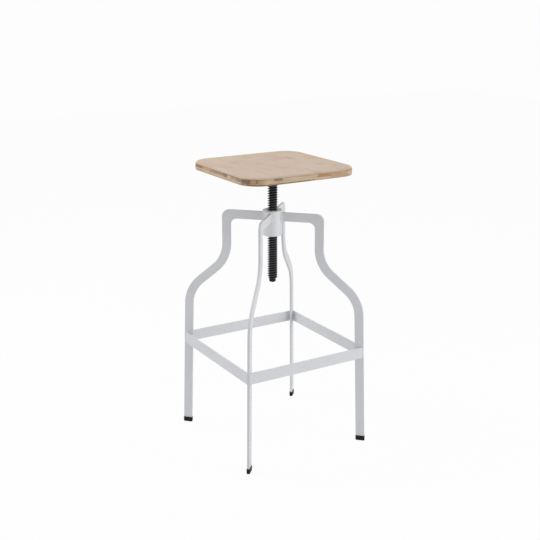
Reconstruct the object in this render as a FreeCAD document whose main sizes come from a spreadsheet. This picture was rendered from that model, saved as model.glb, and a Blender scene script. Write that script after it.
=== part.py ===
"""Swivel bar stool with a screw-adjusted wooden seat on a four-legged flat-plate frame.

Millimetres. +Z is up, the origin lies on the floor on the spindle's axis, and X and Y run along the
sides of the seat and of the footrest. The legs stand on the diagonals. The seat is at mid height.
"""
import FreeCAD, Part
import math
import os

import Sketcher
from FreeCAD import Placement, Rotation, Vector

# Driving dimensions: name, value in millimetres or degrees, meaning
SIZES = [
    ("seat_side", 330.0, "square seat board, side to side"),
    ("seat_thickness", 20.8, "seat board thickness"),
    ("seat_corner_radius", 55.0, "seat board corners in plan"),
    ("seat_edge_radius", 7.0, "round-over of the seat's upper edge"),
    ("seat_under_bevel", 1.5, "easing of the seat's lower edge"),
    ("seat_height", 771.0, "floor to the top of the seat"),
    ("plate_side", 150.0, "square plate under the seat"),
    ("plate_thickness", 4.0, "plate under the seat"),
    ("plate_corner_radius", 14.0, "plate corners in plan"),
    ("screw_spacing", 116.0, "seat screws, centre to centre along X and Y"),
    ("screw_diameter", 5.0, "seat screw shank"),
    ("screw_length", 17.0, "seat screw under its head"),
    ("screw_head_diameter", 10.0, "seat screw head"),
    ("screw_head_height", 2.8, "seat screw head"),
    ("screw_clearance", 0.1, "around a seat screw in its hole"),
    ("spindle_diameter", 27.0, "spindle over its thread"),
    ("spindle_length", 289.7, "spindle from the plate to its lower end"),
    ("spindle_chamfer", 2.5, "lower end of the spindle"),
    ("spindle_clearance", 0.3, "around the spindle in the hub"),
    ("pin_diameter", 18.0, "pin at the spindle's lower end"),
    ("pin_length", 10.5, "pin below the spindle's end face"),
    ("pin_chamfer", 2.0, "lower end of the pin"),
    ("spigot_diameter", 10.0, "pin's spigot inside the spindle"),
    ("spigot_length", 14.0, "pin's spigot inside the spindle"),
    ("pin_clearance", 0.2, "around the pin's spigot and over its shoulder"),
    ("hub_diameter", 53.0, "hub outside"),
    ("hub_height", 69.6, "hub end to end"),
    ("hub_top_height", 647.1, "floor to the hub's top face"),
    ("hub_rim_bevel", 1.6, "easing of the hub's outer rims"),
    ("hub_countersink", 2.0, "bevel at both mouths of the hub's bore"),
    ("leg_width", 24.0, "flat leg, in its own plane"),
    ("leg_thickness", 6.0, "flat leg, plate thickness"),
    ("arm_drop", 6.6, "hub's top face down to the arms"),
    ("shoulder_reach", 140.4, "axis to the outside of the upper leg"),
    ("shoulder_outer_radius", 20.0, "outer corner between arm and leg"),
    ("shoulder_inner_radius", 18.0, "inner corner between arm and leg"),
    ("bend_height", 547.0, "floor to the start of the S-bend"),
    ("bend_radius", 96.0, "both bends of the S, along the leg's middle"),
    ("bend_angle", 49.2, "slope of the S-bend's straight run, from the vertical"),
    ("leg_splay", 2.0, "lower leg, from the vertical"),
    ("foot_reach", 265.0, "axis to the leg's outer edge, at the floor"),
    ("footrest_top_height", 277.3, "floor to the top of the footrest"),
    ("footrest_height", 30.0, "footrest bar, top to bottom"),
    ("footrest_thickness", 5.0, "footrest bar"),
    ("weld_size", 4.0, "leg length of the weld beads"),
    ("cap_height", 14.0, "foot cap"),
    ("cap_floor", 4.0, "foot cap under the leg"),
    ("cap_side_wall", 1.6, "foot cap beside the leg's wide faces, at its rim"),
    ("cap_end_wall", 0.7, "foot cap beside the leg's narrow edges, at its rim"),
    ("cap_taper", 0.3, "foot cap, each side, from its rim to its lower edge"),
    ("cap_bevel", 1.0, "lower edge of the foot cap"),
    ("cap_corner_radius", 2.0, "foot cap corners in plan"),
    ("cap_clearance", 0.1, "between foot cap and leg"),
]

# The legs on the diagonals, counter-clockwise from the one between +X and +Y
LEGS = ("back", "left", "front", "right")
# The footrest bars, counter-clockwise from the one on the -Y side
BARS = ("front", "right", "back", "left")
# Lengths that differ by less than this are the same
SAME_PLACE = 1e-6

doc = FreeCAD.newDocument("bar_stool")
sheet = doc.addObject("Spreadsheet::Sheet", "Sizes")
size = {}
for row, (name, value, meaning) in enumerate(SIZES, start=1):
    sheet.set(f"A{row}", meaning)
    sheet.set(f"B{row}", str(value))
    sheet.setAlias(f"B{row}", name)
    size[name] = value
doc.recompute()


def bind(obj, prop, formula):
    """Tie a property or a named sketch constraint to the sheet; names in braces are sheet sizes."""
    obj.setExpression(prop, formula.replace("{", "Sizes.").replace("}", ""))


def new_body(label):
    """An empty body whose label names its file."""
    body = doc.addObject("PartDesign::Body", label)
    body.Label = label
    return body


def new_sketch(body, role, name):
    """A sketch on one of the body's own origin planes."""
    sketch = body.newObject("Sketcher::SketchObject", name)
    plane = next(f for f in body.Origin.OriginFeatures if f.Role == role)
    sketch.AttachmentSupport = [(plane, "")]
    sketch.MapMode = "FlatFace"
    return sketch


def constrain(sketch, name, kind, arguments, formula):
    """A named dimension in a sketch, bound to the sheet."""
    index = sketch.addConstraint(Sketcher.Constraint(kind, *arguments))
    sketch.renameConstraint(index, name)
    bind(sketch, f"Constraints.{name}", formula)


def line(sketch, start, end):
    """A straight edge; returns its index."""
    return sketch.addGeometry(Part.LineSegment(Vector(*start, 0), Vector(*end, 0)))


def arc(sketch, centre, radius, first_degrees, last_degrees):
    """A counter-clockwise arc; returns its index."""
    circle = Part.Circle(Vector(*centre, 0), Vector(0, 0, 1), radius)
    limits = (math.radians(first_degrees), math.radians(last_degrees))
    return sketch.addGeometry(Part.ArcOfCircle(circle, *limits))


def polygon(sketch, points):
    """Closed straight outline with its corners joined; returns the edges' indices."""
    edges = [line(sketch, p, q) for p, q in zip(points, points[1:] + points[:1])]
    for one, other in zip(edges, edges[1:] + edges[:1]):
        sketch.addConstraint(Sketcher.Constraint("Coincident", one, 2, other, 1))
    return edges


def rounded_rectangle(sketch, width, depth, radius, width_formula, depth_formula, radius_formula):
    """Rectangle about the sketch's origin with four equal round corners."""
    x = width / 2
    y = depth / 2
    bottom = line(sketch, (radius - x, -y), (x - radius, -y))
    right = line(sketch, (x, radius - y), (x, y - radius))
    top = line(sketch, (x - radius, y), (radius - x, y))
    left = line(sketch, (-x, y - radius), (-x, radius - y))
    corners = [
        arc(sketch, (x - radius, radius - y), radius, 270, 360),
        arc(sketch, (x - radius, y - radius), radius, 0, 90),
        arc(sketch, (radius - x, y - radius), radius, 90, 180),
        arc(sketch, (radius - x, radius - y), radius, 180, 270),
    ]
    sides = [bottom, right, top, left]
    for side, corner, following in zip(sides, corners, sides[1:] + sides[:1]):
        sketch.addConstraint(Sketcher.Constraint("Tangent", side, 2, corner, 1))
        sketch.addConstraint(Sketcher.Constraint("Tangent", corner, 2, following, 1))
    for corner in corners[1:]:
        sketch.addConstraint(Sketcher.Constraint("Equal", corners[0], corner))
    for side, kind in ((bottom, "Horizontal"), (top, "Horizontal"), (right, "Vertical"), (left, "Vertical")):
        sketch.addConstraint(Sketcher.Constraint(kind, side))
    sketch.addConstraint(Sketcher.Constraint("Symmetric", corners[0], 3, corners[2], 3, -1, 1))
    constrain(sketch, "width", "DistanceX", (left, 1, right, 1, width), width_formula)
    constrain(sketch, "depth", "DistanceY", (bottom, 1, top, 1, depth), depth_formula)
    constrain(sketch, "corner", "Radius", (corners[0], radius), radius_formula)


def square_of_holes(sketch, spacing, radius, spacing_formula, diameter_formula):
    """Four equal circles on the corners of a square about the sketch's origin."""
    half = spacing / 2
    holes = []
    for x, y in ((half, half), (-half, half), (-half, -half), (half, -half)):
        holes.append(sketch.addGeometry(Part.Circle(Vector(x, y, 0), Vector(0, 0, 1), radius)))
    for hole in holes[1:]:
        sketch.addConstraint(Sketcher.Constraint("Equal", holes[0], hole))
    sketch.addConstraint(Sketcher.Constraint("Symmetric", holes[0], 3, holes[2], 3, -1, 1))
    sketch.addConstraint(Sketcher.Constraint("Symmetric", holes[1], 3, holes[3], 3, -1, 1))
    sketch.addConstraint(Sketcher.Constraint("Horizontal", holes[1], 3, holes[0], 3))
    sketch.addConstraint(Sketcher.Constraint("Vertical", holes[3], 3, holes[0], 3))
    constrain(sketch, "along_x", "DistanceX", (holes[1], 3, holes[0], 3, spacing), spacing_formula)
    constrain(sketch, "along_y", "DistanceY", (holes[3], 3, holes[0], 3, spacing), spacing_formula)
    constrain(sketch, "bore", "Diameter", (holes[0], 2 * radius), diameter_formula)


def add_pad(body, sketch, name, formula, symmetric=False):
    """Material along the sketch's normal."""
    pad = body.newObject("PartDesign::Pad", name)
    pad.Profile = sketch
    pad.SideType = "Symmetric" if symmetric else "One side"
    bind(pad, "Length", formula)
    doc.recompute()
    return pad


def add_pocket(body, sketch, name, formula, symmetric=False, upwards=False):
    """A cut along the sketch's normal, which has to take material away."""
    before = body.Shape.Volume
    pocket = body.newObject("PartDesign::Pocket", name)
    pocket.Profile = sketch
    pocket.SideType = "Symmetric" if symmetric else "One side"
    pocket.Reversed = upwards
    bind(pocket, "Length", formula)
    doc.recompute()
    if not body.Shape.Volume < before:
        raise RuntimeError(f"{body.Label}: {name} cuts nothing")
    return pocket


def add_revolution(body, sketch, name):
    """A full turn of the sketch about the vertical axis."""
    turned = body.newObject("PartDesign::Revolution", name)
    turned.Profile = sketch
    turned.ReferenceAxis = (sketch, ["V_Axis"])
    turned.Angle = 360
    doc.recompute()
    return turned


def add_fillet(body, base, edges, name, formula):
    """Round the named edges, or the borders of the named faces."""
    fillet = body.newObject("PartDesign::Fillet", name)
    fillet.Base = (base, edges)
    bind(fillet, "Radius", formula)
    doc.recompute()
    return fillet


def add_chamfer(body, base, edges, name, formula):
    """Bevel the named edges, or the borders of the named faces."""
    chamfer = body.newObject("PartDesign::Chamfer", name)
    chamfer.Base = (base, edges)
    bind(chamfer, "Size", formula)
    doc.recompute()
    return chamfer


def end_face(feature, upper):
    """Name of the feature's highest or lowest flat level face."""
    level = {}
    for index, face in enumerate(feature.Shape.Faces, start=1):
        box = face.BoundBox
        if box.ZLength < SAME_PLACE:
            level[f"Face{index}"] = box.ZMax
    return max(level, key=level.get) if upper else min(level, key=level.get)


def circular_edges(feature, radius):
    """Names of the feature's round edges of one radius."""
    names = []
    for index, edge in enumerate(feature.Shape.Edges, start=1):
        if isinstance(edge.Curve, Part.Circle) and abs(edge.Curve.Radius - radius) < SAME_PLACE:
            names.append(f"Edge{index}")
    return names


def lift(obj, formula):
    """Raise an object to a height worked out in the sheet."""
    bind(obj, "Placement.Base.z", formula)


def turn(obj, degrees):
    """Turn an object about the vertical axis of the stool."""
    obj.Placement = Placement(obj.Placement.Base, Rotation(Vector(0, 0, 1), degrees))


def leg_angle(side):
    """Bearing of a leg, counter-clockwise from +X, in degrees."""
    return 360 / len(LEGS) * (LEGS.index(side) + 0.5)


def bar_angle(side):
    """Turn of a footrest bar from the -Y side, in degrees."""
    return 360 / len(BARS) * BARS.index(side)


SEAT_BOTTOM = "{seat_height} - {seat_thickness}"
PLATE_BOTTOM = SEAT_BOTTOM + " - {plate_thickness}"
SPINDLE_BOTTOM = PLATE_BOTTOM + " - {spindle_length}"
HUB_BOTTOM = "{hub_top_height} - {hub_height}"
ARM_TOP = "{hub_top_height} - {arm_drop}"
SOLE_REACH = "({foot_reach} - {cap_floor} * tan({leg_splay}))"
LEVEL_WIDTH = "{leg_width} / cos({leg_splay})"
LEG_REACH_AT_FOOTREST = "{foot_reach} - {footrest_top_height} * tan({leg_splay})"
FOOTREST_REACH = "(" + LEG_REACH_AT_FOOTREST + " + {leg_thickness} / 2) / sqrt(2)"
FOOTREST_BOTTOM = "{footrest_top_height} - {footrest_height}"


def make_seat_board():
    """Laminated wooden seat with rounded corners, eased edges and four blind screw holes below."""
    body = new_body("seat_board")
    outline = new_sketch(body, "XY_Plane", "seat_outline")
    rounded_rectangle(
        outline, size["seat_side"], size["seat_side"], size["seat_corner_radius"],
        "{seat_side}", "{seat_side}", "{seat_corner_radius}",
    )
    board = add_pad(body, outline, "seat_blank", "{seat_thickness}")
    board = add_fillet(body, board, [end_face(board, True)], "seat_round_over", "{seat_edge_radius}")
    add_chamfer(body, board, [end_face(board, False)], "seat_lower_edge", "{seat_under_bevel}")
    holes = new_sketch(body, "XY_Plane", "seat_holes")
    square_of_holes(
        holes, size["screw_spacing"], size["screw_diameter"] / 2 + size["screw_clearance"],
        "{screw_spacing}", "{screw_diameter} + 2 * {screw_clearance}",
    )
    depth = "{screw_length} - {plate_thickness} + {screw_clearance}"
    add_pocket(body, holes, "seat_screw_holes", depth, upwards=True)
    lift(body, SEAT_BOTTOM)
    return body


def make_seat_plate():
    """Steel plate between spindle and seat board."""
    body = new_body("seat_plate")
    outline = new_sketch(body, "XY_Plane", "plate_outline")
    rounded_rectangle(
        outline, size["plate_side"], size["plate_side"], size["plate_corner_radius"],
        "{plate_side}", "{plate_side}", "{plate_corner_radius}",
    )
    add_pad(body, outline, "plate_blank", "{plate_thickness}")
    holes = new_sketch(body, "XY_Plane", "plate_holes")
    square_of_holes(
        holes, size["screw_spacing"], size["screw_diameter"] / 2 + size["screw_clearance"],
        "{screw_spacing}", "{screw_diameter} + 2 * {screw_clearance}",
    )
    add_pocket(body, holes, "plate_screw_holes", "{plate_thickness}", upwards=True)
    lift(body, PLATE_BOTTOM)
    return body


def make_seat_screw(number, x_sign, y_sign):
    """One wood screw, driven upwards through the plate."""
    head = doc.addObject("Part::Cylinder", f"screw_head_{number}")
    bind(head, "Radius", "{screw_head_diameter} / 2")
    bind(head, "Height", "{screw_head_height}")
    bind(head, "Placement.Base.z", "-{screw_head_height}")
    shank = doc.addObject("Part::Cylinder", f"screw_shank_{number}")
    bind(shank, "Radius", "{screw_diameter} / 2")
    bind(shank, "Height", "{screw_length}")
    screw = doc.addObject("Part::MultiFuse", f"seat_screw_{number}")
    screw.Shapes = [head, shank]
    screw.Refine = True
    bind(screw, "Placement.Base.x", f"{x_sign} * {{screw_spacing}} / 2")
    bind(screw, "Placement.Base.y", f"{y_sign} * {{screw_spacing}} / 2")
    lift(screw, PLATE_BOTTOM)
    return screw


def make_seat_screws():
    """The four identical screws as one group of separate solids."""
    group = doc.addObject("Part::Compound", "seat_screws")
    group.Label = "seat_screws"
    corners = [(1, 1), (-1, 1), (-1, -1), (1, -1)]
    group.Links = [make_seat_screw(number, *corner) for number, corner in enumerate(corners, start=1)]
    return group


def make_spindle():
    """Lead screw: a round bar with a bevelled lower end and a blind hole for the pin's spigot."""
    body = new_body("spindle")
    profile = new_sketch(body, "XZ_Plane", "spindle_profile")
    radius = size["spindle_diameter"] / 2
    bevel = size["spindle_chamfer"]
    length = size["spindle_length"]
    hole = size["spigot_diameter"] / 2 + size["pin_clearance"]
    depth = size["spigot_length"] + size["pin_clearance"]
    outline = [
        (hole, 0), (radius - bevel, 0), (radius, bevel), (radius, length),
        (0, length), (0, depth), (hole, depth),
    ]
    end, slope, side, top, axis, hole_end, hole_wall = polygon(profile, outline)
    for edge in (end, top, hole_end):
        profile.addConstraint(Sketcher.Constraint("Horizontal", edge))
    for edge in (side, hole_wall):
        profile.addConstraint(Sketcher.Constraint("Vertical", edge))
    profile.addConstraint(Sketcher.Constraint("PointOnObject", end, 1, -1))
    profile.addConstraint(Sketcher.Constraint("PointOnObject", axis, 1, -2))
    profile.addConstraint(Sketcher.Constraint("PointOnObject", axis, 2, -2))
    constrain(
        profile, "hole_radius", "DistanceX", (-1, 1, end, 1, hole),
        "{spigot_diameter} / 2 + {pin_clearance}",
    )
    constrain(profile, "radius", "DistanceX", (-1, 1, side, 1, radius), "{spindle_diameter} / 2")
    constrain(profile, "bevel_in", "DistanceX", (slope, 1, slope, 2, bevel), "{spindle_chamfer}")
    constrain(profile, "bevel_up", "DistanceY", (slope, 1, slope, 2, bevel), "{spindle_chamfer}")
    constrain(profile, "length", "DistanceY", (-1, 1, top, 1, length), "{spindle_length}")
    constrain(profile, "depth", "DistanceY", (-1, 1, hole_end, 1, depth), "{spigot_length} + {pin_clearance}")
    add_revolution(body, profile, "spindle_bar")
    lift(body, SPINDLE_BOTTOM)
    return body


def make_spindle_end_pin():
    """Turned pin below the spindle, with a spigot up into it."""
    body = new_body("spindle_end_pin")
    profile = new_sketch(body, "XZ_Plane", "pin_profile")
    radius = size["pin_diameter"] / 2
    bevel = size["pin_chamfer"]
    shoulder = size["pin_length"] - size["pin_clearance"]
    spigot = size["spigot_diameter"] / 2
    top = size["pin_length"] + size["spigot_length"] - size["pin_clearance"]
    outline = [
        (0, 0), (radius - bevel, 0), (radius, bevel), (radius, shoulder),
        (spigot, shoulder), (spigot, top), (0, top),
    ]
    end, slope, side, ledge, wall, crown, axis = polygon(profile, outline)
    for edge in (end, ledge, crown):
        profile.addConstraint(Sketcher.Constraint("Horizontal", edge))
    for edge in (side, wall, axis):
        profile.addConstraint(Sketcher.Constraint("Vertical", edge))
    profile.addConstraint(Sketcher.Constraint("Coincident", end, 1, -1, 1))
    constrain(profile, "radius", "DistanceX", (-1, 1, side, 1, radius), "{pin_diameter} / 2")
    constrain(profile, "bevel_in", "DistanceX", (slope, 1, slope, 2, bevel), "{pin_chamfer}")
    constrain(profile, "bevel_up", "DistanceY", (slope, 1, slope, 2, bevel), "{pin_chamfer}")
    constrain(profile, "shoulder", "DistanceY", (-1, 1, ledge, 1, shoulder), "{pin_length} - {pin_clearance}")
    constrain(profile, "spigot", "DistanceX", (-1, 1, wall, 1, spigot), "{spigot_diameter} / 2")
    constrain(
        profile, "height", "DistanceY", (-1, 1, crown, 1, top),
        "{pin_length} + {spigot_length} - {pin_clearance}",
    )
    add_revolution(body, profile, "pin_turned")
    lift(body, SPINDLE_BOTTOM + " - {pin_length}")
    return body


def make_hub():
    """Round boss with the spindle's bore; its rims are eased and its bore is bevelled at both mouths."""
    body = new_body("hub")
    ring = new_sketch(body, "XY_Plane", "hub_ring")
    outside = size["hub_diameter"] / 2
    bore = size["spindle_diameter"] / 2 + size["spindle_clearance"]
    for name, radius, formula in (
        ("outside", outside, "{hub_diameter}"),
        ("bore", bore, "{spindle_diameter} + 2 * {spindle_clearance}"),
    ):
        circle = ring.addGeometry(Part.Circle(Vector(0, 0, 0), Vector(0, 0, 1), radius))
        ring.addConstraint(Sketcher.Constraint("Coincident", circle, 3, -1, 1))
        constrain(ring, name, "Diameter", (circle, 2 * radius), formula)
    blank = add_pad(body, ring, "hub_blank", "{hub_height}")
    eased = add_chamfer(body, blank, circular_edges(blank, outside), "hub_rims", "{hub_rim_bevel}")
    add_chamfer(body, eased, circular_edges(eased, bore), "hub_mouths", "{hub_countersink}")
    lift(body, HUB_BOTTOM)
    return body


def leg_centres():
    """Centres of the S-bend's upper and lower arcs in the leg's plane, as (reach, height)."""
    inside = size["bend_radius"] - size["leg_width"] / 2
    outside = size["bend_radius"] + size["leg_width"] / 2
    slope = math.radians(size["bend_angle"])
    splay = math.radians(size["leg_splay"])
    upper = (size["shoulder_reach"] + inside, size["bend_height"])
    across_slope = upper[0] * math.cos(slope) + upper[1] * math.sin(slope) - inside - outside
    across_foot = size["foot_reach"] * math.cos(splay) - outside
    turned = math.sin(slope - splay)
    reach = (across_foot * math.sin(slope) - across_slope * math.sin(splay)) / turned
    height = (across_slope * math.cos(splay) - across_foot * math.cos(slope)) / turned
    return upper, (reach, height)


def on_circle(centre, radius, degrees):
    """Point of a circle in the leg's plane."""
    angle = math.radians(degrees)
    return (centre[0] + radius * math.cos(angle), centre[1] + radius * math.sin(angle))


def foot_edge(height, width):
    """Reach of the lower leg at a height, on the line that lies a width inside the outer edge."""
    splay = math.radians(size["leg_splay"])
    return size["foot_reach"] - height * math.tan(splay) - width / math.cos(splay)


def draw_leg(sketch):
    """Outline of one leg in its own plane: arm, shoulder, S-bend and splayed lower run."""
    width = size["leg_width"]
    arm_top = size["hub_top_height"] - size["arm_drop"]
    arm_bottom = arm_top - width
    reach = size["shoulder_reach"]
    outer = size["shoulder_outer_radius"]
    inner = size["shoulder_inner_radius"]
    inside = size["bend_radius"] - width / 2
    outside = size["bend_radius"] + width / 2
    slope = size["bend_angle"]
    splay = size["leg_splay"]
    foot = size["cap_floor"]
    upper, lower = leg_centres()

    top = line(sketch, (0, arm_top), (reach - outer, arm_top))
    shoulder_out = arc(sketch, (reach - outer, arm_top - outer), outer, 0, 90)
    upright_out = line(sketch, (reach, arm_top - outer), (reach, upper[1]))
    bend_in = arc(sketch, upper, inside, 180, 180 + slope)
    slope_out = line(sketch, on_circle(upper, inside, 180 + slope), on_circle(lower, outside, slope))
    knee_out = arc(sketch, lower, outside, splay, slope)
    shin_out = line(sketch, on_circle(lower, outside, splay), (foot_edge(foot, 0), foot))
    sole = line(sketch, (foot_edge(foot, 0), foot), (foot_edge(foot, width), foot))
    shin_in = line(sketch, (foot_edge(foot, width), foot), on_circle(lower, inside, splay))
    knee_in = arc(sketch, lower, inside, splay, slope)
    slope_in = line(sketch, on_circle(lower, inside, slope), on_circle(upper, outside, 180 + slope))
    bend_out = arc(sketch, upper, outside, 180, 180 + slope)
    upright_in = line(sketch, (reach - width, upper[1]), (reach - width, arm_bottom - inner))
    shoulder_in = arc(sketch, (reach - width - inner, arm_bottom - inner), inner, 0, 90)
    under = line(sketch, (reach - width - inner, arm_bottom), (0, arm_bottom))
    axis = line(sketch, (0, arm_bottom), (0, arm_top))

    # Smooth joints: each pair meets at the end (2) or start (1) of the first and of the second edge
    for one, at, other, to in (
        (top, 2, shoulder_out, 2), (shoulder_out, 1, upright_out, 1), (upright_out, 2, bend_in, 1),
        (bend_in, 2, slope_out, 1), (slope_out, 2, knee_out, 2), (knee_out, 1, shin_out, 1),
        (shin_in, 2, knee_in, 1), (knee_in, 2, slope_in, 1), (slope_in, 2, bend_out, 2),
        (bend_out, 1, upright_in, 1), (upright_in, 2, shoulder_in, 1), (shoulder_in, 2, under, 1),
    ):
        sketch.addConstraint(Sketcher.Constraint("Tangent", one, at, other, to))
    # Square corners at the foot and at the hub
    for one, other in ((shin_out, sole), (sole, shin_in), (under, axis), (axis, top)):
        sketch.addConstraint(Sketcher.Constraint("Coincident", one, 2, other, 1))
    for edge in (top, under, sole):
        sketch.addConstraint(Sketcher.Constraint("Horizontal", edge))
    for edge in (upright_out, upright_in):
        sketch.addConstraint(Sketcher.Constraint("Vertical", edge))
    sketch.addConstraint(Sketcher.Constraint("Coincident", bend_in, 3, bend_out, 3))
    sketch.addConstraint(Sketcher.Constraint("Coincident", knee_in, 3, knee_out, 3))
    sketch.addConstraint(Sketcher.Constraint("Equal", bend_in, knee_in))
    sketch.addConstraint(Sketcher.Constraint("PointOnObject", axis, 1, -2))
    sketch.addConstraint(Sketcher.Constraint("PointOnObject", axis, 2, -2))

    constrain(sketch, "arm_top", "DistanceY", (-1, 1, axis, 2, arm_top), ARM_TOP)
    constrain(sketch, "arm_width", "DistanceY", (axis, 1, axis, 2, width), "{leg_width}")
    constrain(sketch, "reach", "DistanceX", (-1, 1, upright_out, 1, reach), "{shoulder_reach}")
    constrain(sketch, "upright_width", "DistanceX", (upright_in, 1, upright_out, 2, width), "{leg_width}")
    constrain(sketch, "shoulder_outer", "Radius", (shoulder_out, outer), "{shoulder_outer_radius}")
    constrain(sketch, "shoulder_inner", "Radius", (shoulder_in, inner), "{shoulder_inner_radius}")
    constrain(sketch, "bend_height", "DistanceY", (-1, 1, bend_in, 3, upper[1]), "{bend_height}")
    constrain(sketch, "bend_inside", "Radius", (bend_in, inside), "{bend_radius} - {leg_width} / 2")
    constrain(sketch, "knee_outside", "Radius", (knee_out, outside), "{bend_radius} + {leg_width} / 2")
    constrain(sketch, "slope", "Angle", (slope_out, math.radians(slope - 90)), "{bend_angle} - 90")
    constrain(sketch, "splay", "Angle", (shin_out, math.radians(splay - 90)), "{leg_splay} - 90")
    sketch.addConstraint(Sketcher.Constraint("Parallel", shin_out, shin_in))
    constrain(sketch, "sole_height", "DistanceY", (-1, 1, sole, 1, foot), "{cap_floor}")
    constrain(sketch, "sole_reach", "DistanceX", (-1, 1, sole, 1, foot_edge(foot, 0)), SOLE_REACH)


def make_leg(side):
    """One flat leg, its arm's end coped to the hub."""
    body = new_body(f"leg_{side}")
    outline = new_sketch(body, "XZ_Plane", f"leg_outline_{side}")
    draw_leg(outline)
    add_pad(body, outline, f"leg_plate_{side}", "{leg_thickness}", symmetric=True)
    cope = new_sketch(body, "XY_Plane", f"leg_cope_{side}")
    circle = cope.addGeometry(Part.Circle(Vector(0, 0, 0), Vector(0, 0, 1), size["hub_diameter"] / 2))
    cope.addConstraint(Sketcher.Constraint("Coincident", circle, 3, -1, 1))
    constrain(cope, "hub", "Diameter", (circle, size["hub_diameter"]), "{hub_diameter}")
    add_pocket(body, cope, f"leg_end_{side}", "2 * {hub_top_height}", symmetric=True)
    turn(body, leg_angle(side))
    return body


def make_footrest(side):
    """One bar; its mitred ends lie on the legs' wide faces, its outer corners on their outer edges."""
    body = new_body(f"footrest_{side}")
    plan = new_sketch(body, "XY_Plane", f"footrest_plan_{side}")
    leg_reach = foot_edge(size["footrest_top_height"], 0)
    outer = (leg_reach + size["leg_thickness"] / 2) / math.sqrt(2)
    inner = outer - size["footrest_thickness"]
    set_back = size["leg_thickness"] / math.sqrt(2)
    outer_half = outer - set_back
    inner_half = inner - set_back
    front, _, rear, _ = polygon(
        plan, [(-outer_half, -outer), (outer_half, -outer), (inner_half, -inner), (-inner_half, -inner)]
    )
    for edge in (front, rear):
        plan.addConstraint(Sketcher.Constraint("Symmetric", edge, 1, edge, 2, -2))
    set_back_formula = "{leg_thickness} / sqrt(2)"
    inner_formula = f"{FOOTREST_REACH} - {{footrest_thickness}}"
    constrain(plan, "outer", "DistanceY", (front, 1, -1, 1, outer), FOOTREST_REACH)
    constrain(plan, "inner", "DistanceY", (rear, 1, -1, 1, inner), inner_formula)
    constrain(
        plan, "outer_length", "DistanceX", (front, 1, front, 2, 2 * outer_half),
        f"2 * ({FOOTREST_REACH} - {set_back_formula})",
    )
    constrain(
        plan, "inner_length", "DistanceX", (rear, 2, rear, 1, 2 * inner_half),
        f"2 * ({inner_formula} - {set_back_formula})",
    )
    add_pad(body, plan, f"footrest_bar_{side}", "{footrest_height}")
    turn(body, bar_angle(side))
    lift(body, FOOTREST_BOTTOM)
    return body


def make_foot_cap(side):
    """Push-on cap under one leg, which leans with it: tapered outside, flat sole, and a socket."""
    body = new_body(f"foot_cap_{side}")
    level_width = foot_edge(0, 0) - foot_edge(0, size["leg_width"])
    rim_width = level_width + 2 * (size["cap_end_wall"] + size["cap_clearance"])
    rim_depth = size["leg_thickness"] + 2 * (size["cap_side_wall"] + size["cap_clearance"])
    width_formula = LEVEL_WIDTH + " + 2 * ({cap_end_wall} + {cap_clearance})"
    depth_formula = "{leg_thickness} + 2 * ({cap_side_wall} + {cap_clearance})"
    taper = size["cap_taper"]
    sections = []
    for place, inset, inset_formula, height in (
        ("sole", taper + size["cap_bevel"], "({cap_taper} + {cap_bevel})", "0"),
        ("edge", taper, "{cap_taper}", "{cap_bevel}"),
        ("rim", 0, "0 * {cap_taper}", "{cap_height}"),
    ):
        section = new_sketch(body, "XY_Plane", f"cap_{place}_{side}")
        rounded_rectangle(
            section, rim_width - 2 * inset, rim_depth - 2 * inset, size["cap_corner_radius"],
            f"{width_formula} - 2 * {inset_formula}", f"{depth_formula} - 2 * {inset_formula}",
            "{cap_corner_radius}",
        )
        lean = f"({height} - {{cap_floor}}) * tan({{leg_splay}})"
        bind(section, "AttachmentOffset.Base.x", f"{SOLE_REACH} - {LEVEL_WIDTH} / 2 - {lean}")
        bind(section, "AttachmentOffset.Base.z", height)
        sections.append(section)
    block = body.newObject("PartDesign::AdditiveLoft", f"cap_block_{side}")
    block.Profile = sections[0]
    block.Sections = sections[1:]
    block.Ruled = True
    doc.recompute()
    socket = new_sketch(body, "XZ_Plane", f"cap_socket_{side}")
    floor = size["cap_floor"]
    rim = size["cap_height"]
    gap = size["cap_clearance"]
    width = size["leg_width"]
    bottom, outside, top, inside = polygon(
        socket,
        [
            (foot_edge(floor, width) - gap, floor), (foot_edge(floor, 0) + gap, floor),
            (foot_edge(rim, 0) + gap, rim), (foot_edge(rim, width) - gap, rim),
        ],
    )
    for edge in (bottom, top):
        socket.addConstraint(Sketcher.Constraint("Horizontal", edge))
    socket.addConstraint(Sketcher.Constraint("Parallel", outside, inside))
    outside_angle = math.radians(90 + size["leg_splay"])
    constrain(socket, "lean", "Angle", (outside, outside_angle), "90 + {leg_splay}")
    constrain(socket, "floor", "DistanceY", (-1, 1, bottom, 1, floor), "{cap_floor}")
    constrain(socket, "rim", "DistanceY", (-1, 1, top, 1, rim), "{cap_height}")
    constrain(
        socket, "outer", "DistanceX", (-1, 1, bottom, 2, foot_edge(floor, 0) + gap),
        f"{SOLE_REACH} + {{cap_clearance}}",
    )
    constrain(
        socket, "inner", "DistanceX", (-1, 1, bottom, 1, foot_edge(floor, width) - gap),
        f"{SOLE_REACH} - {LEVEL_WIDTH} - {{cap_clearance}}",
    )
    add_pocket(body, socket, f"cap_hollow_{side}", "{leg_thickness} + 2 * {cap_clearance}", symmetric=True)
    turn(body, leg_angle(side))
    return body


def repeat_on_legs(body, sketch, pad, name):
    """Repeat a pad round the vertical axis, once for each leg."""
    pattern = body.newObject("PartDesign::PolarPattern", name)
    pattern.Originals = [pad]
    pattern.Axis = (sketch, ["N_Axis"])
    pattern.Angle = 360
    pattern.Occurrences = len(LEGS)
    body.Tip = pattern
    doc.recompute()


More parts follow.
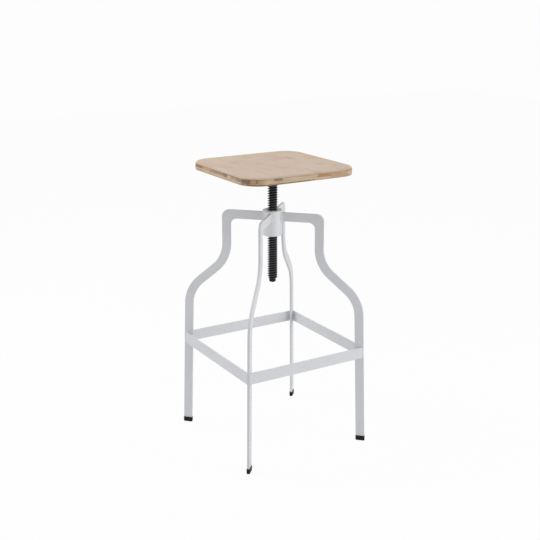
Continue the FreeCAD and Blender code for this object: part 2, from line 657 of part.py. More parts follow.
def make_hub_welds():
    """Beads along both sides of every arm, in the corner between arm and hub."""
    body = new_body("hub_welds")
    plan = new_sketch(body, "XY_Plane", "hub_weld_plan")
    radius = size["hub_diameter"] / 2
    face = size["leg_thickness"] / 2
    bead = size["weld_size"]
    near = math.asin(face / radius)
    far = math.asin((face + bead) / radius)
    for side, sign in (("left", 1), ("right", -1)):
        corner = (radius * math.cos(near), sign * face)
        toe = (corner[0] + bead, sign * face)
        crest = (radius * math.cos(far), sign * (face + bead))
        on_arm = line(plan, corner, toe)
        surface = line(plan, toe, crest)
        limits = sorted((sign * near, sign * far))
        on_hub = arc(plan, (0, 0), radius, *[math.degrees(limit) for limit in limits])
        first, last = (1, 2) if sign > 0 else (2, 1)
        plan.addConstraint(Sketcher.Constraint("Coincident", on_arm, 2, surface, 1))
        plan.addConstraint(Sketcher.Constraint("Coincident", surface, 2, on_hub, last))
        plan.addConstraint(Sketcher.Constraint("Coincident", on_arm, 1, on_hub, first))
        plan.addConstraint(Sketcher.Constraint("Coincident", on_hub, 3, -1, 1))
        plan.addConstraint(Sketcher.Constraint("Horizontal", on_arm))
        at_arm = (-1, 1, on_arm, 1) if sign > 0 else (on_arm, 1, -1, 1)
        at_crest = (-1, 1, surface, 2) if sign > 0 else (surface, 2, -1, 1)
        constrain(plan, f"hub_{side}", "Radius", (on_hub, radius), "{hub_diameter} / 2")
        constrain(plan, f"arm_{side}", "DistanceY", (*at_arm, face), "{leg_thickness} / 2")
        constrain(plan, f"toe_{side}", "DistanceX", (on_arm, 1, on_arm, 2, bead), "{weld_size}")
        constrain(
            plan, f"crest_{side}", "DistanceY", (*at_crest, face + bead),
            "{leg_thickness} / 2 + {weld_size}",
        )
    pad = add_pad(body, plan, "hub_weld_beads", "{leg_width}")
    repeat_on_legs(body, plan, pad, "hub_weld_round")
    turn(body, leg_angle(LEGS[0]))
    lift(body, f"{ARM_TOP} - {{leg_width}}")
    return body


def make_footrest_welds():
    """Beads in the sharp inner corners between the footrest bars and the legs."""
    body = new_body("footrest_welds")
    plan = new_sketch(body, "XY_Plane", "footrest_weld_plan")
    face = size["leg_thickness"] / 2
    bead = size["weld_size"]
    notch = foot_edge(size["footrest_top_height"], 0) - size["footrest_thickness"] * math.sqrt(2)
    along = bead / math.sqrt(2)
    for side, sign in (("left", 1), ("right", -1)):
        on_leg, surface, on_bar = polygon(
            plan, [(notch, sign * face), (notch - bead, sign * face), (notch - along, sign * (face + along))]
        )
        plan.addConstraint(Sketcher.Constraint("Horizontal", on_leg))
        at_leg = (-1, 1, on_leg, 1) if sign > 0 else (on_leg, 1, -1, 1)
        constrain(plan, f"leg_{side}", "DistanceY", (*at_leg, face), "{leg_thickness} / 2")
        constrain(
            plan, f"notch_{side}", "DistanceX", (-1, 1, on_leg, 1, notch),
            f"{LEG_REACH_AT_FOOTREST} - {{footrest_thickness}} * sqrt(2)",
        )
        constrain(plan, f"on_leg_{side}", "DistanceX", (on_leg, 2, on_leg, 1, bead), "{weld_size}")
        constrain(plan, f"on_bar_{side}", "DistanceX", (on_bar, 1, on_bar, 2, along), "{weld_size} / sqrt(2)")
        rise = (on_leg, 1, surface, 2) if sign > 0 else (surface, 2, on_leg, 1)
        constrain(plan, f"rise_{side}", "DistanceY", (*rise, along), "{weld_size} / sqrt(2)")
    pad = add_pad(body, plan, "footrest_weld_beads", "{footrest_height}")
    repeat_on_legs(body, plan, pad, "footrest_weld_round")
    turn(body, leg_angle(LEGS[0]))
    lift(body, FOOTREST_BOTTOM)
    return body


def write_files(pieces):
    """Check every object, then write one file for each piece."""
    doc.recompute()
    for obj in doc.Objects:
        if "Invalid" in obj.State or "Error" in obj.State:
            raise RuntimeError(f"{obj.Name}: {obj.State}")
    os.makedirs("parts", exist_ok=True)
    for piece in pieces:
        if piece.Shape.isNull() or not piece.Shape.isValid() or not piece.Shape.Solids:
            raise RuntimeError(f"{piece.Label}: bad shape")
        piece.Shape.exportStep(f"parts/{piece.Label}.step")


stool = [
    make_seat_board(), make_seat_plate(), make_seat_screws(),
    make_spindle(), make_spindle_end_pin(), make_hub(),
]
stool += [make_leg(side) for side in LEGS]
stool += [make_footrest(side) for side in BARS]
stool += [make_foot_cap(side) for side in LEGS]
stool += [make_hub_welds(), make_footrest_welds()]
write_files(stool)
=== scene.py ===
"""Looks of a swivel bar stool: a wooden seat on a black lead screw in a pale painted steel frame.

Laid out as an add-on and run as a script. Metres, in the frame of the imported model: +Z up, the origin on
the floor on the spindle's axis, X and Y along the sides of the seat, and the legs on the diagonals.
"""
import math

import bpy
from bpy.props import FloatProperty, FloatVectorProperty, IntProperty, PointerProperty
from bpy.types import NodeSocket, Operator, Panel, PropertyGroup
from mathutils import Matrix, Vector


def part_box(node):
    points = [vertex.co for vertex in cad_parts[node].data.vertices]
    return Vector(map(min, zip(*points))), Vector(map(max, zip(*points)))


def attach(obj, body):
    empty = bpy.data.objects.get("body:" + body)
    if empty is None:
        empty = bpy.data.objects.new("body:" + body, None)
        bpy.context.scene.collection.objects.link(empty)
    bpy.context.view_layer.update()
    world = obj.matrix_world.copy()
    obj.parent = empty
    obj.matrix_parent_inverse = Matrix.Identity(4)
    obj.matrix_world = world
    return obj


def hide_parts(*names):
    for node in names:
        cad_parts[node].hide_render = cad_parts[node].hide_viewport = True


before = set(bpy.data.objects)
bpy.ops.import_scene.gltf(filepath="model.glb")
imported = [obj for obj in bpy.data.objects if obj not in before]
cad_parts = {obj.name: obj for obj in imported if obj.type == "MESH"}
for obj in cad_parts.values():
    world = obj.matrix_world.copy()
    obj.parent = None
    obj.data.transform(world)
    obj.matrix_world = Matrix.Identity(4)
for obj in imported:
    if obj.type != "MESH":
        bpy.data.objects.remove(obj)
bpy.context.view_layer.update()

bl_info = {
    "name": "Swivel Bar Stool",
    "version": (1, 0, 0),
    "blender": (4, 5, 0),
    "location": "View3D > Sidebar > Stool",
    "description": "Dresses the packed model of a screw-lift bar stool and sets up its studio",
    "category": "Object",
}

# The legs on the diagonals, counter-clockwise from the one between +X and +Y
LEGS = ("back", "left", "front", "right")
# The bars of the footrest, counter-clockwise from the one on the -Y side
BARS = ("front", "right", "back", "left")
MILLIMETRE = 0.001
# Points that are nearer to each other than this are one
SAME_PLACE = 1e-5
# Faces that meet at less than the first are one flat face, edges below the second look smooth, and edges
# above the third are rounded
FLAT_WITHIN = math.radians(0.5)
SMOOTH_BELOW = math.radians(35)
SHARP_ABOVE = math.radians(38)

# One pitch of the thread: share of the pitch, and share of the depth from root to crest
THREAD_OUTLINE = (
    (0.00, 0.0), (0.13, 0.0), (0.16, 0.04), (0.37, 0.90), (0.39, 0.98), (0.41, 1.0),
    (0.59, 1.0), (0.61, 0.98), (0.63, 0.90), (0.84, 0.04), (0.87, 0.0), (1.00, 0.0),
)
# Between the spindle and the hub's bore
BORE_CLEARANCE = 0.3 * MILLIMETRE
HUB_FACETS = 96

# Weld beads: sides and rings of a bead, its regular ripple and its slower waver as shares of the radius,
# and how blunt its ends are
BEAD_SIDES = 14
BEAD_RINGS = 40
RIPPLE_PITCH = 2.4 * MILLIMETRE
RIPPLE_SHARE = 0.07
WAVER_RATE = 610.0
WAVER_SHARE = 0.05
BLUNT_END = 0.08
# Inside the footrest's corners a bead halves the angle between leg and bar, and stops below the bar's top
INNER_BEAD_SETBACK = 2.6 * MILLIMETRE
INNER_BEAD_ANGLE = math.radians(22.5)
INNER_BEAD_STOP = 5 * MILLIMETRE
# Outside them it lies past the bars' inner corner, beside the leg
OUTER_BEAD_REACH = 3.1 * MILLIMETRE
OUTER_BEAD_OFFSET = 0.6 * MILLIMETRE
OUTER_BEAD_RADIUS = 1.3 * MILLIMETRE

# Seat screws: head, its rounding, its cross recess, and how far each one was driven round
SCREW_HEAD_RADIUS = 5 * MILLIMETRE
SCREW_HEAD_ROUNDING = 1.5 * MILLIMETRE
RECESS_LENGTH = 5.6 * MILLIMETRE
RECESS_DEPTH = 2.6 * MILLIMETRE
SCREW_TURNS = (0.3, 1.1, 0.7, 1.4)
SCREW_CORNERS = ((1, 1), (-1, 1), (-1, -1), (1, -1))

# Studio: the floor, the share of it that glows where it is seen, the light from all round, and the lamps
FLOOR_SIZE = 14.0
FLOOR_DROP = 0.0004
FLOOR_GLOW = 0.95
SCATTERED_LIGHT = 0.58
SEEN_BACKGROUND = 0.982
WHITE = (1.0, 1.0, 1.0, 1.0)
SOFTBOX_AIM = Vector((0.0, 0.0, 0.45))
SOFTBOX_WIDTH = 1.2
SOFTBOX_HEIGHT = 1.8
# Name, place and power
SOFTBOXES = (
    ("softbox_right", Vector((1.54, -1.84, 1.3)), 22),
    ("softbox_left", Vector((-1.455, 1.22, 2.3)), 25),
)

# Heights in the seat's wood are above its underside: where the cut sides begin, where they turn into the
# top, and the darker rims of the sides with their strengths and fade
SIDES_BEGIN = (0.00005, 0.0003)
SIDES_END = (0.0158, 0.0182)
RIM_LINES = ((0.0008, 0.35), (0.0164, 0.42))
RIM_FADE = (0.0010, 0.0024)
# Half the width of a glue line: where it starts to fade, and where it ends
GLUE_FADE = (0.0001, 0.0005)
# Edge of a mark, in shares of its half size
MARK_FADE = (0.8, 1.15)
# Marks on the sides: (x, y, height), half sizes, and strength
SIDE_MARKS = (
    ((-0.1650, 0.1060, 0.0130), (0.0300, 0.0260, 0.0040), 0.72),
    ((-0.1650, 0.0600, 0.0125), (0.0200, 0.0210, 0.0040), 0.30),
    ((-0.1650, 0.0040, 0.0123), (0.0200, 0.0360, 0.0043), 0.52),
    ((-0.1650, -0.0425, 0.0120), (0.0200, 0.0105, 0.0046), 0.74),
    ((-0.1650, -0.0850, 0.0125), (0.0200, 0.0130, 0.0040), 0.40),
    ((-0.1650, -0.1100, 0.0118), (0.0200, 0.0120, 0.0046), 0.60),
    ((-0.1598, -0.1340, 0.0105), (0.0085, 0.0120, 0.0062), 0.82),
    ((-0.1390, -0.1570, 0.0110), (0.0025, 0.0040, 0.0050), 0.55),
    ((-0.0834, -0.1650, 0.0134), (0.0120, 0.0200, 0.0034), 0.75),
    ((0.1400, -0.1550, 0.0165), (0.0200, 0.0300, 0.0020), 0.45),
    # The last mark is a darker band along the lower edge of the front side
    ((-0.0750, -0.1650, 0.0014), (0.0920, 0.0500, 0.0026), 0.65),
)
AMBER_MARKS = (
    ((0.0530, -0.1650, 0.0108), (0.0230, 0.0200, 0.0038), 0.85),
    ((0.1030, -0.1650, 0.0086), (0.0270, 0.0200, 0.0058), 0.50),
    ((0.1500, -0.1470, 0.0100), (0.0120, 0.0120, 0.0060), 0.40),
    ((-0.1650, 0.1000, 0.0045), (0.0200, 0.0180, 0.0024), 0.25),
    ((-0.1400, -0.1550, 0.0090), (0.0180, 0.0160, 0.0090), 0.40),
)
# Darker blocks of the top, one stave wide: x, y, half length, and strength
TOP_BLOCKS = (
    (-0.0825, 0.0580, 0.0150, 0.16),
    (-0.0589, 0.0850, 0.0160, 0.10),
    (0.0825, 0.0500, 0.0160, 0.20),
    (0.0354, 0.0450, 0.0130, 0.10),
    (-0.0354, 0.0100, 0.0120, 0.10),
    (-0.0118, -0.0400, 0.0300, 0.08),
    (-0.0118, -0.0740, 0.0110, 0.12),
    (0.1061, -0.0700, 0.0120, 0.14),
    (-0.0118, 0.1180, 0.0200, 0.12),
    (0.0589, -0.0370, 0.0060, 0.07),
    (0.1300, 0.0150, 0.0100, 0.08),
    (-0.1300, 0.0050, 0.0080, 0.09),
    (0.1061, 0.1350, 0.0180, 0.09),
)
TOP_HEIGHT = 0.0208
BLOCK_HALF_WIDTH = 0.0116
BLOCK_HALF_DEPTH = 0.0050


def length(label, note, default):
    """A length that a user can change."""
    return FloatProperty(
        name=label, description=note, default=default, min=0.0, precision=5, unit="LENGTH"
    )


def colour(label, note, default):
    """A colour that a user can change."""
    return FloatVectorProperty(
        name=label, description=note, default=(*default, 1.0), size=4, min=0.0, max=1.0, subtype="COLOR"
    )


class SeatSettings(PropertyGroup):
    """Sizes and colours of the wooden seat."""

    corner_radius: length("Corner radius", "Seat corners in plan", 0.055)
    round_over: length("Round-over", "Rounding of the upper edge", 0.007)
    lower_ease: length("Lower easing", "Rounding of the lower edge", 0.0015)
    stave_width: length("Stave width", "Width of the glued staves", 0.02357)
    block_length: length("Block length", "Length of the blocks in a stave", 0.085)
    pale_wood: colour("Pale wood", "Palest blocks of the seat", (0.656, 0.515, 0.404))
    warm_wood: colour("Warm wood", "Warmer blocks of the seat", (0.626, 0.477, 0.366))
    edge_wood: colour("Edge wood", "Cut sides of the seat", (0.61, 0.46, 0.315))
    dark_wood: colour("Dark wood", "Dark heartwood marks on the sides", (0.185, 0.108, 0.064))
    amber_wood: colour("Amber wood", "Reddish marks on the sides", (0.42, 0.20, 0.075))


class SpindleSettings(PropertyGroup):
    """Sizes and colours of the lead screw."""

    pitch: length("Pitch", "Rise of the thread in one turn", 0.0065)
    root_diameter: length("Root diameter", "Spindle between the threads", 0.0178)
    end_bevel: length("End bevel", "Bevel at the lower end of the thread", 0.0025)
    steps: IntProperty(
        name="Steps", description="Facets in one turn of the thread", default=48, min=12, max=128
    )
    black: colour("Black steel", "Blackened steel of the screw", (0.005, 0.005, 0.006))
    # Colour of the crests: partly wear from use, partly a painted highlight
    wear_and_highlight_black: colour("Worn and highlit steel", "Crests of the thread", (0.074, 0.074, 0.080))


class FrameSettings(PropertyGroup):
    """Sizes and colour of the painted frame."""

    leg_thickness: length("Leg thickness", "Plate of the legs", 0.006)
    edge_ease: length("Edge easing", "Rounding of the painted edges", 0.0004)
    hub_rim: length("Hub rim", "Rounding of the hub's outer rims", 0.0025)
    hub_mouth: length("Hub mouth", "Bevel round the bore", 0.002)
    hub_bead: length("Hub bead", "Radius of the weld beads at the hub", 0.0031)
    bar_bead: length("Footrest bead", "Radius of the weld beads at the footrest", 0.0016)
    paint: colour("Paint", "Pale powder coat", (0.73, 0.745, 0.775))


class FixingSettings(PropertyGroup):
    """Sizes and colours of the foot caps and of the seat's screws."""

    cap_ease: length("Cap easing", "Rounding of the cap's edges", 0.0005)
    screw_recess: length("Screw recess", "Width of the cross recess's arms", 0.0013)
    cap_black: colour("Cap plastic", "Black plastic of the foot caps", (0.006, 0.006, 0.007))
    plated_steel: colour("Plated steel", "Zinc-plated screws", (0.56, 0.56, 0.57))


class StageSettings(PropertyGroup):
    """Camera and light of the studio."""

    azimuth: FloatProperty(
        name="Azimuth", description="Bearing of the camera from the front", default=math.radians(-31.095),
        subtype="ANGLE",
    )
    elevation: FloatProperty(
        name="Elevation", description="Height angle of the camera", default=math.radians(16.598),
        subtype="ANGLE",
    )
    distance: length("Distance", "Camera to the point it looks at", 2.560)
    aim_height: length("Aim height", "Height of the point that the camera looks at", 0.4781)
    aim_left: length("Aim left", "Shift of the camera to its left", 0.0067)
    lens: FloatProperty(name="Lens", description="Focal length", default=62.76, min=1.0, unit="CAMERA")
    backdrop: colour("Backdrop", "Floor and backdrop", (0.86, 0.86, 0.86))


def deselect():
    """Leave edit mode, and deselect everything, the CAD nodes among it."""
    if bpy.context.mode != "OBJECT":
        bpy.ops.object.mode_set(mode="OBJECT")
    bpy.ops.object.select_all(action="DESELECT")


def choose(piece):
    """Make one piece the active and only selected object."""
    deselect()
    piece.select_set(True)
    bpy.context.view_layer.objects.active = piece


def pick(piece, kind, test):
    """Go to edit mode with the vertices, edges or faces selected whose corner points pass a test."""
    choose(piece)
    bpy.ops.object.mode_set(mode="EDIT")
    bpy.ops.mesh.select_mode(type=kind)
    bpy.ops.mesh.select_all(action="DESELECT")
    bpy.ops.object.mode_set(mode="OBJECT")
    points = piece.data.vertices
    parts = {"VERT": points, "EDGE": piece.data.edges, "FACE": piece.data.polygons}[kind]
    for part in parts:
        corners = [part.index] if kind == "VERT" else part.vertices
        part.select = test([points[i].co for i in corners])
    if not any(part.select for part in parts):
        raise RuntimeError(f"nothing to pick on {piece.name}")
    bpy.ops.object.mode_set(mode="EDIT")


def apply_modifier(piece, kind, **settings):
    """Add a modifier, set it up and apply it."""
    choose(piece)
    modifier = piece.modifiers.new(kind.title(), kind)
    for name, value in settings.items():
        setattr(modifier, name, value)
    bpy.ops.object.modifier_apply(modifier=modifier.name)


def draw_profile(name, points):
    """A wire of straight runs through points of the XZ plane, given as (reach, height)."""
    deselect()
    places = [Vector((reach, 0, height)) for reach, height in points]
    bpy.ops.mesh.primitive_plane_add(size=MILLIMETRE, location=places[0])
    piece = bpy.context.active_object
    piece.name = name
    bpy.ops.object.transform_apply(location=True, rotation=True, scale=True)
    bpy.ops.object.mode_set(mode="EDIT")
    bpy.ops.mesh.select_mode(type="VERT")
    bpy.ops.mesh.select_all(action="SELECT")
    bpy.ops.mesh.merge(type="CENTER")
    for here, there in zip(places, places[1:]):
        bpy.ops.mesh.extrude_vertices_move(TRANSFORM_OT_translate={"value": there - here})
    bpy.ops.object.mode_set(mode="OBJECT")
    return piece


def rounded(centre, radius, first, last, count=5):
    """Points of an arc in the XZ plane, from one angle to another in degrees."""
    angles = [math.radians(first + (last - first) * i / count) for i in range(count + 1)]
    return [(centre[0] + radius * math.cos(a), centre[1] + radius * math.sin(a)) for a in angles]


def close_up(piece):
    """Merge doubled points and turn every face outwards."""
    choose(piece)
    bpy.ops.object.mode_set(mode="EDIT")
    bpy.ops.mesh.select_all(action="SELECT")
    bpy.ops.mesh.remove_doubles(threshold=SAME_PLACE)
    bpy.ops.mesh.normals_make_consistent(inside=False)
    bpy.ops.object.mode_set(mode="OBJECT")


def eased_copy(node, name, width):
    """Copy of a CAD node with its flat faces whole again and its sharp edges rounded."""
    piece = bpy.data.objects.new(name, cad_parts[node].data.copy())
    bpy.context.scene.collection.objects.link(piece)
    choose(piece)
    bpy.ops.mesh.customdata_custom_splitnormals_clear()
    bpy.ops.object.mode_set(mode="EDIT")
    bpy.ops.mesh.select_all(action="SELECT")
    bpy.ops.mesh.remove_doubles(threshold=SAME_PLACE)
    bpy.ops.mesh.dissolve_limited(angle_limit=FLAT_WITHIN)
    bpy.ops.object.mode_set(mode="OBJECT")
    apply_modifier(
        piece, "BEVEL", width=width, segments=2, limit_method="ANGLE", angle_limit=SHARP_ABOVE,
        use_clamp_overlap=True,
    )
    return piece


def placed_copy(source, name, place, turn):
    """A copy of a piece with a mesh of its own, moved and turned about Z."""
    copy = bpy.data.objects.new(name, source.data.copy())
    bpy.context.scene.collection.objects.link(copy)
    copy.location = place
    copy.rotation_euler.z = turn
    choose(copy)
    bpy.ops.object.transform_apply(location=True, rotation=True, scale=True)
    return copy


def finish_piece(piece, body, slot, material, *nodes):
    """Smooth a piece, give it its finish, and let it ride on its body in place of CAD nodes."""
    choose(piece)
    bpy.ops.object.transform_apply(location=True, rotation=True, scale=True)
    bpy.ops.object.shade_smooth_by_angle(angle=SMOOTH_BELOW)
    apply_modifier(piece, "WEIGHTED_NORMAL", keep_sharp=True)
    piece.data.materials.clear()
    piece.data.materials.append(material)
    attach(piece, body)
    if nodes:
        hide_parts(*nodes)
    deselect()


def join(pieces, name):
    """Join several meshes into one piece."""
    choose(pieces[0])
    for piece in pieces:
        piece.select_set(True)
    bpy.ops.object.join()
    joined = bpy.context.active_object
    joined.name = name
    return joined


def leg_bearing(index):
    """Bearing of a leg from +X."""
    return math.tau / len(LEGS) * (index + 0.5)


def feed(tree, socket, value):
    """Link a socket to another one, or set it to a constant."""
    if isinstance(value, NodeSocket):
        tree.links.new(value, socket)
    else:
        socket.default_value = value


def add_node(tree, kind, inputs, **settings):
    """A node with its settings made and its inputs fed."""
    made = tree.nodes.new(kind)
    for name, value in settings.items():
        setattr(made, name, value)
    for name, value in inputs.items():
        feed(tree, made.inputs[name], value)
    return made


def calc(tree, operation, first, second=0.0):
    """One sum on numbers."""
    return add_node(tree, "ShaderNodeMath", {0: first, 1: second}, operation=operation).outputs[0]


def blend(tree, factor, one, other, mode="MIX"):
    """Mix two colours."""
    inputs = {0: factor, 6: one, 7: other}
    return add_node(tree, "ShaderNodeMix", inputs, data_type="RGBA", blend_type=mode).outputs[2]


def shade(tint, factor):
    """A colour made darker or lighter."""
    return [factor * part for part in tint[:3]] + [1.0]


def ramp(tree, value, low, high, to_low=0.0, to_high=1.0):
    """A smooth step from one number to another."""
    inputs = {"Value": value, "From Min": low, "From Max": high, "To Min": to_low, "To Max": to_high}
    return add_node(tree, "ShaderNodeMapRange", inputs, interpolation_type="SMOOTHSTEP").outputs[0]


def scaled(tree, vector, scale):
    """Coordinates stretched along each axis."""
    return add_node(tree, "ShaderNodeVectorMath", {0: vector, 1: scale}, operation="MULTIPLY").outputs[0]


def noise(tree, vector, scale, detail=3.0, roughness=0.5):
    """Value of a noise texture."""
    inputs = {"Vector": vector, "Scale": scale, "Detail": detail, "Roughness": roughness}
    return add_node(tree, "ShaderNodeTexNoise", inputs).outputs["Fac"]


def bump(tree, height, strength, distance):
    """A bump of the surface."""
    inputs = {"Height": height, "Strength": strength, "Distance": distance}
    return add_node(tree, "ShaderNodeBump", inputs).outputs["Normal"]


def new_finish(name):
    """A material, its node tree, its shader and the object's own coordinates."""
    material = bpy.data.materials.new(name)
    material.use_nodes = True
    tree = material.node_tree
    shader = tree.nodes["Principled BSDF"]
    place = add_node(tree, "ShaderNodeTexCoord", {}).outputs["Object"]
    return material, tree, shader, place


def spot(tree, place, ragged, centre, reach):
    """A mark with a ragged edge: one inside a block, nothing outside."""
    away = add_node(tree, "ShaderNodeVectorMath", {0: place, 1: centre}, operation="SUBTRACT").outputs[0]
    away = scaled(tree, away, [1 / half for half in reach])
    parts = add_node(tree, "ShaderNodeSeparateXYZ", {0: away}).outputs
    far = [calc(tree, "ABSOLUTE", part) for part in parts]
    far = calc(tree, "MAXIMUM", calc(tree, "MAXIMUM", far[0], far[1]), far[2])
    return ramp(tree, calc(tree, "ADD", far, ragged), *MARK_FADE, 1.0, 0.0)


def stain(tree, wood, place, ragged, tint, marks, underside):
    """Wood with marks of another tint; a mark is (x, y, height), half sizes and strength."""
    for (x, y, up), reach, strength in marks:
        mask = spot(tree, place, ragged, (x, y, underside + up), reach)
        wood = blend(tree, calc(tree, "MULTIPLY", mask, strength), wood, tint)
    return wood


def seat_wood(settings):
    """Pale laminated hardwood: staves of blocks, fine grain, and darker marks on the cut sides."""
    material, tree, shader, place = new_finish("seat_wood")
    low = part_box("seat_board")[0]
    split = add_node(tree, "ShaderNodeSeparateXYZ", {0: place}).outputs
    across = calc(tree, "SUBTRACT", split[0], low.x)
    stave = calc(tree, "FLOOR", calc(tree, "DIVIDE", across, settings.stave_width))
    start = add_node(tree, "ShaderNodeTexWhiteNoise", {"W": stave}, noise_dimensions="1D").outputs["Value"]
    along = calc(tree, "ADD", split[1], calc(tree, "MULTIPLY", start, settings.block_length))
    block = calc(tree, "FLOOR", calc(tree, "DIVIDE", along, settings.block_length))
    number = add_node(tree, "ShaderNodeCombineXYZ", {0: stave, 1: block, 2: 7.0}).outputs[0]
    chance = add_node(tree, "ShaderNodeTexWhiteNoise", {"Vector": number}, noise_dimensions="3D").outputs

    tone = blend(tree, chance["Value"], settings.pale_wood, settings.warm_wood)
    shift = scaled(tree, chance["Color"], (3.0, 3.0, 3.0))
    fibres = scaled(tree, place, (150.0, 9.0, 150.0))
    grain_place = add_node(tree, "ShaderNodeVectorMath", {0: fibres, 1: shift}, operation="ADD").outputs[0]
    grain = noise(tree, grain_place, 1.0, 5.0, 0.6)
    figure = noise(tree, scaled(tree, grain_place, (0.2, 0.8, 0.2)), 1.0, 2.0)
    pores = noise(tree, scaled(tree, place, (900.0, 45.0, 900.0)), 1.0, 2.0)
    streak = ramp(tree, grain, 0.30, 0.72, 0.95, 1.03)
    streak = calc(tree, "MULTIPLY", streak, ramp(tree, figure, 0.62, 0.74, 1.0, 0.94))
    streak = calc(tree, "MULTIPLY", streak, ramp(tree, chance["Value"], 0.86, 0.90, 1.0, 0.95))
    streak = calc(tree, "MULTIPLY", streak, ramp(tree, pores, 0.36, 0.46, 0.94, 1.0))
    wood = blend(tree, 1.0, tone, streak, "MULTIPLY")

    # Glue lines between staves and between the blocks of a stave
    half_stave = settings.stave_width / 2
    half_block = settings.block_length / 2
    side_gap = ramp(tree, calc(tree, "PINGPONG", across, half_stave), *GLUE_FADE, 1.0, 0.0)
    end_gap = ramp(tree, calc(tree, "PINGPONG", along, half_block), *GLUE_FADE, 1.0, 0.0)
    gap = calc(tree, "MAXIMUM", side_gap, end_gap)
    wood = blend(tree, calc(tree, "MULTIPLY", gap, 0.10), wood, settings.dark_wood)
    ragged = noise(tree, scaled(tree, place, (130.0, 130.0, 420.0)), 1.0, 3.0)
    ragged = ramp(tree, ragged, 0.25, 0.75, -0.25, 0.25)
    top_marks = [
        ((x, y, TOP_HEIGHT), (BLOCK_HALF_WIDTH, half_length, BLOCK_HALF_DEPTH), strength)
        for x, y, half_length, strength in TOP_BLOCKS
    ]
    less_ragged = calc(tree, "MULTIPLY", ragged, 0.4)
    wood = stain(tree, wood, place, less_ragged, settings.dark_wood, top_marks, low.z)

    # Cut sides are warmer than the top, with streaks along them, heartwood marks and darker rims. The
    # sides that face front and back are painted darker and those that face left and right lighter: painted
    # shade and light.
    to_front = calc(tree, "SUBTRACT", calc(tree, "ABSOLUTE", split[1]), calc(tree, "ABSOLUTE", split[0]))
    painted_face_light = ramp(tree, to_front, -0.03, 0.03, 1.06, 0.96)
    streaks = noise(tree, scaled(tree, place, (34.0, 34.0, 420.0)), 1.0, 4.0, 0.6)
    edge = blend(tree, 1.0, settings.edge_wood, ramp(tree, streaks, 0.30, 0.70, 0.86, 1.10), "MULTIPLY")
    edge = blend(tree, 1.0, edge, painted_face_light, "MULTIPLY")
    heart = noise(tree, scaled(tree, place, (16.0, 16.0, 190.0)), 1.0, 3.0)
    edge = blend(tree, ramp(tree, heart, 0.60, 0.66, 0.0, 0.30), edge, settings.dark_wood)
    edge = stain(tree, edge, place, ragged, settings.amber_wood, AMBER_MARKS, low.z)
    edge = stain(tree, edge, place, ragged, settings.dark_wood, SIDE_MARKS, low.z)
    wobble = calc(tree, "MULTIPLY", ragged, 0.001)
    height = calc(tree, "SUBTRACT", split[2], low.z)
    for up, strength in RIM_LINES:
        away = calc(tree, "ABSOLUTE", calc(tree, "SUBTRACT", height, up))
        line = ramp(tree, calc(tree, "ADD", away, wobble), *RIM_FADE, strength, 0.0)
        edge = blend(tree, line, edge, settings.dark_wood)
    below_top = ramp(tree, height, *SIDES_END, 1.0, 0.0)
    above_underside = ramp(tree, height, *SIDES_BEGIN)
    wood = blend(tree, calc(tree, "MULTIPLY", below_top, above_underside), wood, edge)

    feed(tree, shader.inputs["Base Color"], wood)
    feed(tree, shader.inputs["Roughness"], ramp(tree, grain, 0.3, 0.7, 0.62, 0.50))
    shader.inputs["Specular IOR Level"].default_value = 0.3
    relief = calc(tree, "SUBTRACT", calc(tree, "MULTIPLY", pores, 0.4), gap)
    feed(tree, shader.inputs["Normal"], bump(tree, relief, 0.25, 0.0003))
    return material


def frame_paint(settings):
    """Pale satin powder coat with its fine orange peel."""
    material, tree, shader, place = new_finish("frame_paint")
    cloud = noise(tree, place, 14.0, 2.0)
    patches = ramp(tree, cloud, 0.3, 0.7)
    paint = blend(tree, patches, settings.paint, shade(settings.paint, 0.965))
    feed(tree, shader.inputs["Base Color"], paint)
    peel = noise(tree, place, 620.0, 2.0)
    feed(tree, shader.inputs["Roughness"], ramp(tree, cloud, 0.3, 0.7, 0.42, 0.50))
    feed(tree, shader.inputs["Normal"], bump(tree, peel, 0.04, 0.00010))
    shader.inputs["Specular IOR Level"].default_value = 0.3
    return material


def black_steel(settings):
    """Blackened steel: dull in the grooves of the thread, with lighter crests that are partly worn by use
    and partly a painted highlight.
    """
    material, tree, shader, place = new_finish("black_steel")
    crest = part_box("spindle")[1].x
    depth = crest - settings.root_diameter / 2
    split = add_node(tree, "ShaderNodeSeparateXYZ", {0: place}).outputs
    flat = add_node(tree, "ShaderNodeCombineXYZ", {0: split[0], 1: split[1], 2: 0.0}).outputs[0]
    reach = add_node(tree, "ShaderNodeVectorMath", {0: flat}, operation="LENGTH").outputs["Value"]
    # Crests and upper flanks are painted lighter: partly wear from use, partly a painted highlight
    wear_and_highlight = ramp(tree, reach, crest - 0.50 * depth, crest - 0.20 * depth)
    wear_and_highlight = calc(tree, "MULTIPLY", wear_and_highlight, ramp(tree, reach, crest, crest + MILLIMETRE, 1.0, 0.0))
    patches = ramp(tree, noise(tree, place, 90.0, 3.0), 0.42, 0.75)
    base = blend(tree, patches, settings.black, shade(settings.black, 1.9))
    feed(tree, shader.inputs["Base Color"], blend(tree, wear_and_highlight, base, settings.wear_and_highlight_black))
    fine = noise(tree, place, 1400.0, 2.0)
    feed(tree, shader.inputs["Roughness"], ramp(tree, wear_and_highlight, 0.0, 1.0, 0.60, 0.20))
    feed(tree, shader.inputs["Normal"], bump(tree, fine, 0.12, 0.0001))
    shader.inputs["Specular IOR Level"].default_value = 0.3
    return material


def cap_plastic(settings):
    """Black moulded plastic with a fine spark-eroded grain."""
    material, tree, shader, place = new_finish("cap_plastic")
    dust = noise(tree, place, 260.0, 3.0)
    patches = ramp(tree, dust, 0.5, 0.8)
    plastic = blend(tree, patches, settings.cap_black, shade(settings.cap_black, 1.7))
    feed(tree, shader.inputs["Base Color"], plastic)
    grain = noise(tree, place, 2600.0, 1.0)
    feed(tree, shader.inputs["Roughness"], ramp(tree, dust, 0.3, 0.7, 0.42, 0.55))
    feed(tree, shader.inputs["Normal"], bump(tree, grain, 0.15, 0.0001))
    shader.inputs["Specular IOR Level"].default_value = 0.18
    return material


